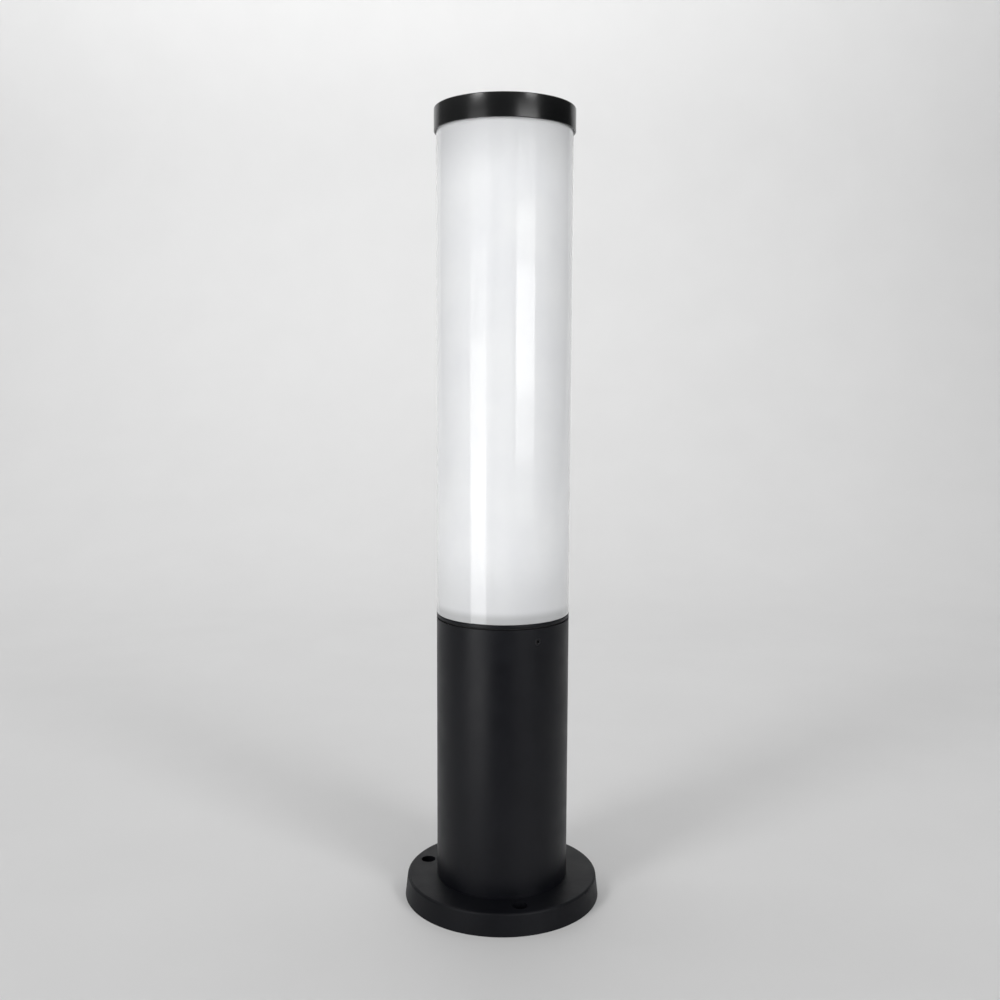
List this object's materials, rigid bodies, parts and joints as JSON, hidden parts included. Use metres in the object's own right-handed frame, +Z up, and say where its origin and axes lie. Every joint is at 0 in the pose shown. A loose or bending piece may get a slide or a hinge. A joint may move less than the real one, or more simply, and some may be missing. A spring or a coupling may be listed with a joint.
{
  "type": "bollard light",
  "caption": "Bollard light with a round bolted base, a short post, an opal tube head that lifts off under a flat cap, and a screw-in lamp inside.",
  "frame": {"origin": "centre of the base's underside, on the ground", "axes": "+Z up along the post; -Y points to the front anchor hole; +X to the right of it"},
  "size_m": [0.1138, 0.1138, 0.45],
  "materials": {
    "black_coat": "fine-textured black powder coat, satin",
    "cap_coat": "smooth black lacquer, semi-gloss",
    "zinc_steel": "bright zinc plate",
    "black_steel": "black oxide, lightly oiled",
    "black_rubber": "matt black rubber",
    "plated_sheet": "zinc-plated sheet steel",
    "porcelain": "white glaze",
    "brass": "plain brass, slightly dulled",
    "block_nylon": "natural polyamide",
    "brown_wire": "brown silicone insulation",
    "blue_wire": "blue silicone insulation",
    "earth_wire": "green and yellow insulation",
    "copper": "bare copper",
    "opal": "glossy opal white acrylic",
    "solder": "dull solder",
    "black_glass": "glossy black glass",
    "nickel": "nickel plate",
    "lamp_plastic": "satin white plastic",
    "lamp_opal": "frosted white polycarbonate",
    "metal_board": "white solder mask on aluminium",
    "led_yellow": "yellow phosphor",
    "green_board": "green solder mask",
    "dark_parts": "dark resin and shrink film"
  },
  "bodies": {
    "post": {"base_flange": "black_coat", "base_screws": "zinc_steel", "post_tube": "black_coat", "cable_grommet": "black_rubber", "lamp_tray": "plated_sheet", "tray_screws": "zinc_steel", "tray_grommet": "black_rubber", "holder_bracket": "plated_sheet", "bracket_screws": "zinc_steel", "bracket_nuts": "zinc_steel", "holder_body": "porcelain", "holder_screws": "zinc_steel", "screw_shell": "brass", "shell_tab": "brass", "centre_contact": "brass", "holder_terminals": "brass", "holder_terminal_screws": "zinc_steel", "terminal_block": "block_nylon", "terminal_inserts": "brass", "terminal_screws": "zinc_steel", "block_screws": "zinc_steel", "lead_live": "brown_wire", "lead_neutral": "blue_wire", "lead_earth": "earth_wire", "lead_conductors": "copper", "earth_ring": "brass", "earth_washer": "zinc_steel", "earth_screw": "brass"},
    "head": {"head_collar": "black_coat", "collar_gasket": "black_rubber", "diffuser": "opal", "diffuser_seal": "black_rubber", "cap_seal": "black_rubber", "top_cap": "cap_coat"},
    "lamp_tip": {"lamp_contact": "solder"},
    "lamp": {"lamp_insulator": "black_glass", "lamp_cap": "nickel", "lamp_body": "lamp_plastic", "lamp_dome": "lamp_opal", "led_board": "metal_board", "led_chips": "led_yellow", "driver_board": "green_board", "driver_parts": "dark_parts"},
    "grub_a": {"grub_screw_a": "black_steel"},
    "grub_b": {"grub_screw_b": "black_steel"},
    "grub_c": {"grub_screw_c": "black_steel"}
  },
  "joints": [
    {"name": "head_lift", "type": "slide", "parent": "post", "child": "head", "axis": [0, 0, 1], "range_m": [0, 0.18]},
    {"name": "lamp_rise", "type": "slide", "parent": "post", "child": "lamp_tip", "axis": [0, 0, 1], "range_m": [0, 0.0127]},
    {"name": "lamp_turn", "type": "hinge", "parent": "lamp_tip", "child": "lamp", "pos_m": [0, 0, 0.23], "axis": [0, 0, 1], "range_deg": [0, 1260]},
    {"name": "grub_a_out", "type": "slide", "parent": "post", "child": "grub_a", "axis": [0.309, -0.9511, 0], "range_m": [0, 0.0025]},
    {"name": "grub_b_out", "type": "slide", "parent": "post", "child": "grub_b", "axis": [0.6691, 0.7431, 0], "range_m": [0, 0.0025]},
    {"name": "grub_c_out", "type": "slide", "parent": "post", "child": "grub_c", "axis": [-0.9781, 0.2079, 0], "range_m": [0, 0.0025]}
  ],
  "couplings": [
    {"joint": "lamp_turn", "follows": "lamp_rise", "rad_per_m": 1731.4}
  ]
}
